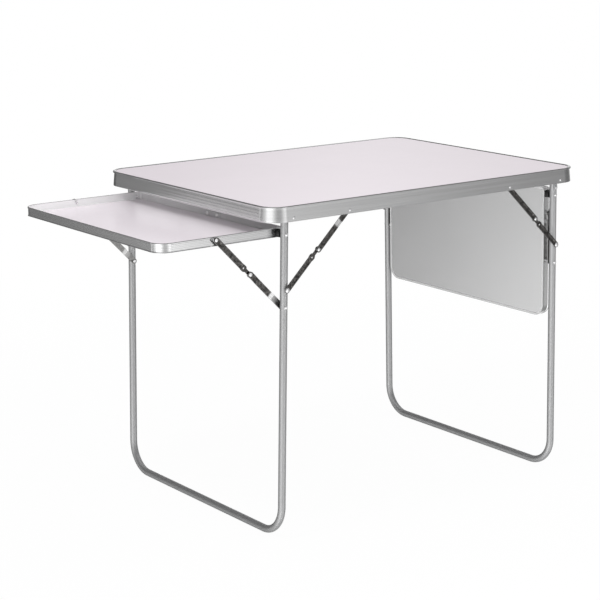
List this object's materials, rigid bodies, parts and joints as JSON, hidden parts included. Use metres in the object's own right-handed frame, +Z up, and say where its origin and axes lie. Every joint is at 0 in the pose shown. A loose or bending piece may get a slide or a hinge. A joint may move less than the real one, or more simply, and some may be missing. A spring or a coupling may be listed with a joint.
{
  "type": "folding table",
  "caption": "Low folding table with a laminated top in an aluminium rim, U-shaped tube leg frames, a tray that swings on each leg frame and two-link folding braces.",
  "frame": {"origin": "on the floor, under the middle of the overall length with the left tray raised, on the table's middle line", "axes": "+X along the table's length, away from the raised tray; +Y across the table; +Z up"},
  "size_m": [1.0214, 0.6, 0.666],
  "materials": {
    "laminate": "white melamine laminate on fibreboard, satin, light grey underneath",
    "rim": "satin extruded aluminium with fine lengthways grooves",
    "leg": "silver grey powder coat, satin",
    "plated": "bright plated pressed steel",
    "bush": "black moulded plastic"
  },
  "bodies": {
    "table_top": {"top_panel": "laminate", "top_rim": "rim", "left_near_hanger": "plated", "left_far_hanger": "plated", "right_near_hanger": "plated", "right_far_hanger": "plated", "left_near_hanger_rivet": "plated", "left_far_hanger_rivet": "plated", "right_near_hanger_rivet": "plated", "right_far_hanger_rivet": "plated", "left_near_brace_rivet": "plated", "left_far_brace_rivet": "plated", "right_near_brace_rivet": "plated", "right_far_brace_rivet": "plated"},
    "left_leg_frame": {"left_leg_tube": "leg", "left_near_brace_bolt": "plated", "left_far_brace_bolt": "plated", "left_near_strut_bolt": "plated", "left_far_strut_bolt": "plated", "left_near_tray_bolt": "plated", "left_far_tray_bolt": "plated", "left_near_tray_bush": "bush", "left_far_tray_bush": "bush"},
    "right_leg_frame": {"right_leg_tube": "leg", "right_near_brace_bolt": "plated", "right_far_brace_bolt": "plated", "right_near_strut_bolt": "plated", "right_far_strut_bolt": "plated", "right_near_tray_bolt": "plated", "right_far_tray_bolt": "plated", "right_near_tray_bush": "bush", "right_far_tray_bush": "bush"},
    "left_tray": {"left_tray_panel": "laminate", "left_tray_rim": "rim", "left_tray_splice": "rim", "left_near_strut_rivet": "plated", "left_far_strut_rivet": "plated"},
    "right_tray": {"right_tray_panel": "laminate", "right_tray_rim": "rim", "right_tray_splice": "rim", "right_near_strut_rivet": "plated", "right_far_strut_rivet": "plated"},
    "left_upper_links": {"left_near_upper_link": "plated", "left_far_upper_link": "plated"},
    "left_lower_links": {"left_near_lower_link": "plated", "left_far_lower_link": "plated"},
    "right_upper_links": {"right_near_upper_link": "plated", "right_far_upper_link": "plated"},
    "right_lower_links": {"right_near_lower_link": "plated", "right_far_lower_link": "plated"},
    "left_leg_struts": {"left_near_leg_strut": "plated", "left_far_leg_strut": "plated"},
    "left_tray_struts": {"left_near_tray_strut": "plated", "left_far_tray_strut": "plated"},
    "right_leg_struts": {"right_near_leg_strut": "plated", "right_far_leg_strut": "plated"},
    "right_tray_struts": {"right_near_tray_strut": "plated", "right_far_tray_strut": "plated"}
  },
  "joints": [
    {"name": "left_leg_fold", "type": "hinge", "parent": "table_top", "child": "left_leg_frame", "pos_m": [-0.24083, 0, 0.644], "axis": [0, -1, 0], "range_deg": [0, 91.36]},
    {"name": "right_leg_fold", "type": "hinge", "parent": "table_top", "child": "right_leg_frame", "pos_m": [0.45917, 0, 0.624], "axis": [0, 1, 0], "range_deg": [0, 90.9]},
    {"name": "left_tray_fold", "type": "hinge", "parent": "left_leg_frame", "child": "left_tray", "pos_m": [-0.24167, 0, 0.6085], "axis": [0, -1, 0], "range_deg": [0, 88.64]},
    {"name": "right_tray_fold", "type": "hinge", "parent": "right_leg_frame", "child": "right_tray", "pos_m": [0.45941, 0, 0.6085], "axis": [0, -1, 0], "range_deg": [0, 89.1]},
    {"name": "left_upper_link_turn", "type": "hinge", "parent": "table_top", "child": "left_upper_links", "pos_m": [-0.10033, 0, 0.642], "axis": [0, 1, 0], "range_deg": [0, 45.47]},
    {"name": "left_lower_link_turn", "type": "hinge", "parent": "left_leg_frame", "child": "left_lower_links", "pos_m": [-0.2442, 0, 0.5019], "axis": [0, -1, 0], "range_deg": [0, 44.33]},
    {"name": "right_upper_link_turn", "type": "hinge", "parent": "table_top", "child": "right_upper_links", "pos_m": [0.31617, 0, 0.642], "axis": [0, -1, 0], "range_deg": [0, 45.73]},
    {"name": "right_lower_link_turn", "type": "hinge", "parent": "right_leg_frame", "child": "right_lower_links", "pos_m": [0.46109, 0, 0.5019], "axis": [0, 1, 0], "range_deg": [0, 31.65]},
    {"name": "left_leg_strut_turn", "type": "hinge", "parent": "left_leg_frame", "child": "left_leg_struts", "pos_m": [-0.24502, 0, 0.46754], "axis": [0, 1, 0], "range_deg": [0, 45.81]},
    {"name": "left_tray_strut_turn", "type": "hinge", "parent": "left_tray", "child": "left_tray_struts", "pos_m": [-0.38767, 0, 0.613], "axis": [0, -1, 0], "range_deg": [0, 43.09]},
    {"name": "right_leg_strut_turn", "type": "hinge", "parent": "right_leg_frame", "child": "right_leg_struts", "pos_m": [0.4617, 0, 0.46302], "axis": [0, 1, 0], "range_deg": [0, 44.68]},
    {"name": "right_tray_strut_turn", "type": "hinge", "parent": "right_tray", "child": "right_tray_struts", "pos_m": [0.46621, 0, 0.46259], "axis": [0, -1, 0], "range_deg": [0, 43.75]}
  ],
  "couplings": [
    {"joint": "left_upper_link_turn", "follows": "left_leg_fold", "ratio": 0.49763},
    {"joint": "left_lower_link_turn", "follows": "left_leg_fold", "ratio": 0.48521},
    {"joint": "right_upper_link_turn", "follows": "right_leg_fold", "ratio": 0.50302},
    {"joint": "right_lower_link_turn", "follows": "right_leg_fold", "ratio": 0.34818},
    {"joint": "left_leg_strut_turn", "follows": "left_tray_fold", "ratio": 0.51672},
    {"joint": "left_tray_strut_turn", "follows": "left_tray_fold", "ratio": 0.4861},
    {"joint": "right_leg_strut_turn", "follows": "right_tray_fold", "ratio": 0.50143},
    {"joint": "right_tray_strut_turn", "follows": "right_tray_fold", "ratio": 0.49098}
  ]
}
